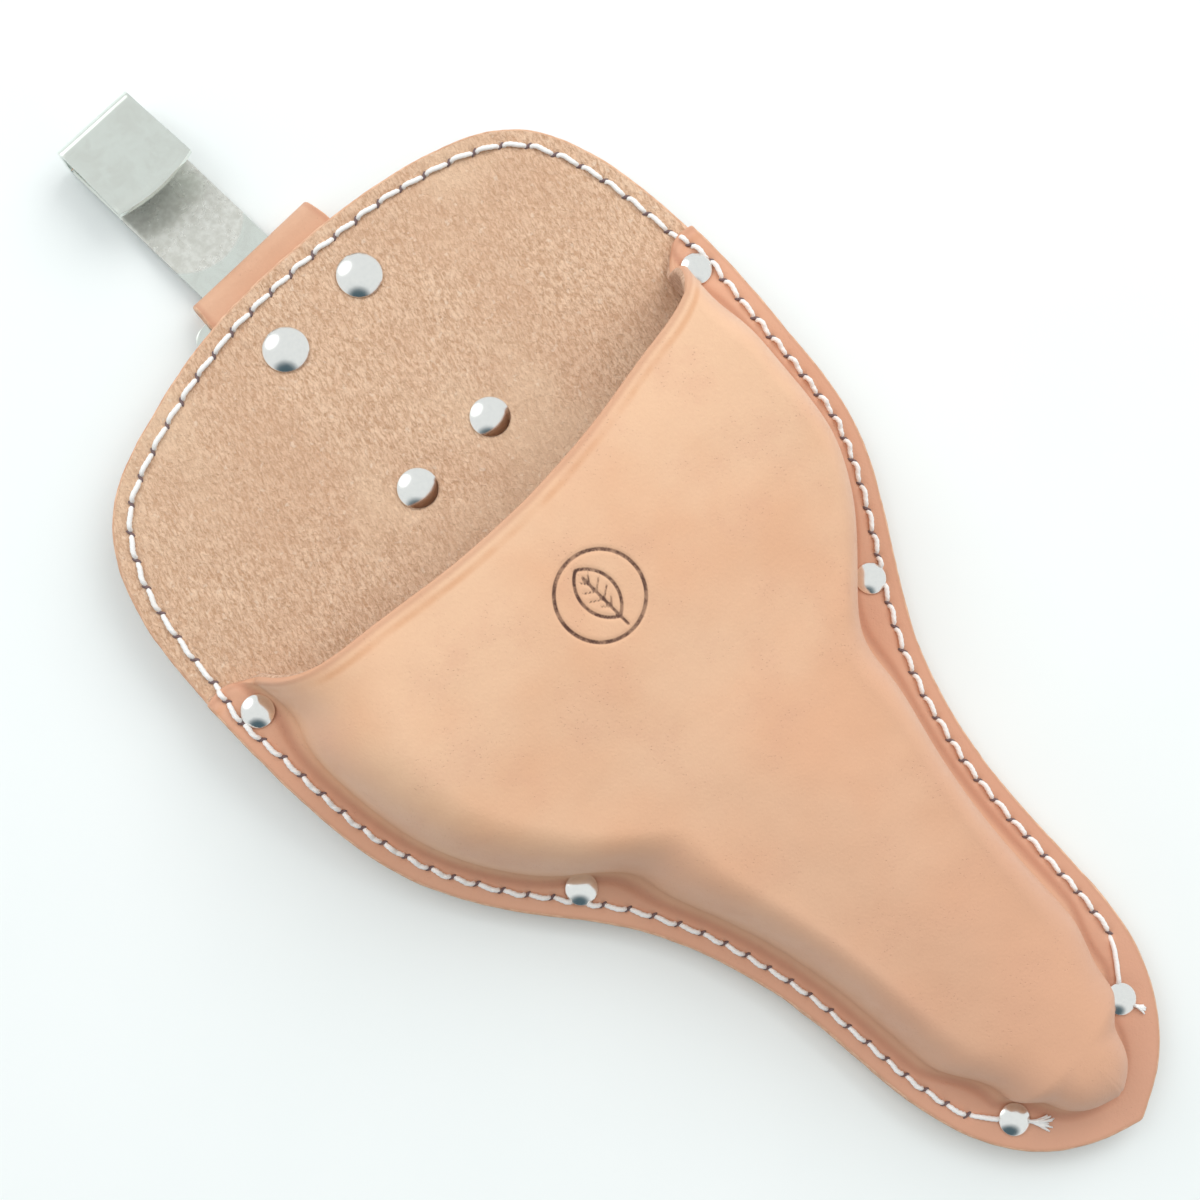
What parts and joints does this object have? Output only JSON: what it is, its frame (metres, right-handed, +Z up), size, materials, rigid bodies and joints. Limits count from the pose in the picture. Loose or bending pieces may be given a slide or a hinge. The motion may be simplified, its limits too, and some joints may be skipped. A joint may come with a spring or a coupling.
{
  "type": "leather shear holster",
  "caption": "Moulded leather holster for hand shears: suede back panel, stitched and riveted front pocket, rear belt loop, and a bent steel belt clip held in a folded strap.",
  "frame": {"origin": "on the surface that the holster lies on, under the middle of its outline", "axes": "+Z up, out through the pocket; +Y along the holster towards the belt clip; +X to the right as seen from the front with the clip up"},
  "size_m": [0.1372, 0.2928, 0.0345],
  "materials": {
    "panel_leather": "suede flesh side, tan",
    "pocket_leather": "smooth vegetable-tanned grain, satin",
    "strap_leather": "smooth grain, satin",
    "rivet_nickel": "polished nickel plate",
    "clip_steel": "bright satin steel",
    "thread_white": "waxed thread"
  },
  "bodies": {
    "holster": {"back_panel": "panel_leather", "front_pocket": "pocket_leather", "hanger_strap": "strap_leather", "seam_rivet_upper_left_cap": "rivet_nickel", "seam_rivet_upper_left_post": "rivet_nickel", "seam_rivet_upper_right_cap": "rivet_nickel", "seam_rivet_upper_right_post": "rivet_nickel", "seam_rivet_middle_left_cap": "rivet_nickel", "seam_rivet_middle_left_post": "rivet_nickel", "seam_rivet_middle_right_cap": "rivet_nickel", "seam_rivet_middle_right_post": "rivet_nickel", "seam_rivet_tip_left_cap": "rivet_nickel", "seam_rivet_tip_left_post": "rivet_nickel", "seam_rivet_tip_right_cap": "rivet_nickel", "seam_rivet_tip_right_post": "rivet_nickel", "strap_rivet_top_left_cap": "rivet_nickel", "strap_rivet_top_left_post": "rivet_nickel", "strap_rivet_top_right_cap": "rivet_nickel", "strap_rivet_top_right_post": "rivet_nickel", "strap_rivet_lower_left_cap": "rivet_nickel", "strap_rivet_lower_left_post": "rivet_nickel", "strap_rivet_lower_right_cap": "rivet_nickel", "strap_rivet_lower_right_post": "rivet_nickel", "seam_thread_front": "thread_white", "seam_thread_back_left": "thread_white", "seam_thread_back_right": "thread_white"},
    "clip": {"belt_clip": "clip_steel"}
  },
  "joints": [
    {"name": "clip_swing", "type": "hinge", "parent": "holster", "child": "clip", "pos_m": [-0.002, 0.0994, 0.0038], "axis": [1, 0, 0], "range_deg": [-10, 11]}
  ]
}
